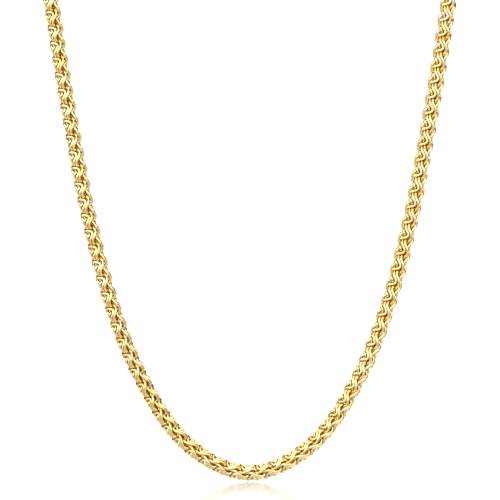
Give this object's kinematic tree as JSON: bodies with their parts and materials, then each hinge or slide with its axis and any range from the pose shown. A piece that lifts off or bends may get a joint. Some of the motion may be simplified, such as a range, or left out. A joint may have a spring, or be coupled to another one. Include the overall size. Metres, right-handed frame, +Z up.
{
  "type": "wheat chain necklace",
  "caption": "Gold wheat chain necklace hanging in its worn shape, closed at the nape by a plain bow clasp on jump rings and crimped end caps.",
  "frame": {"origin": "middle of the fastening, on the chain's centre-line where the necklace sits on the nape", "axes": "+X to the right as seen from the front, -Y to the front, +Z up"},
  "size_m": [0.114, 0.1179, 0.1723],
  "materials": {
    "chain_gold": "polished yellow gold plate",
    "fitting_gold": "polished yellow gold plate"
  },
  "bodies": {
    "root": {"chain": "chain_gold", "left_cap": "fitting_gold", "right_cap": "fitting_gold", "clasp_ring": "fitting_gold", "catch_ring": "fitting_gold", "clasp": "fitting_gold"}
  },
  "joints": []
}
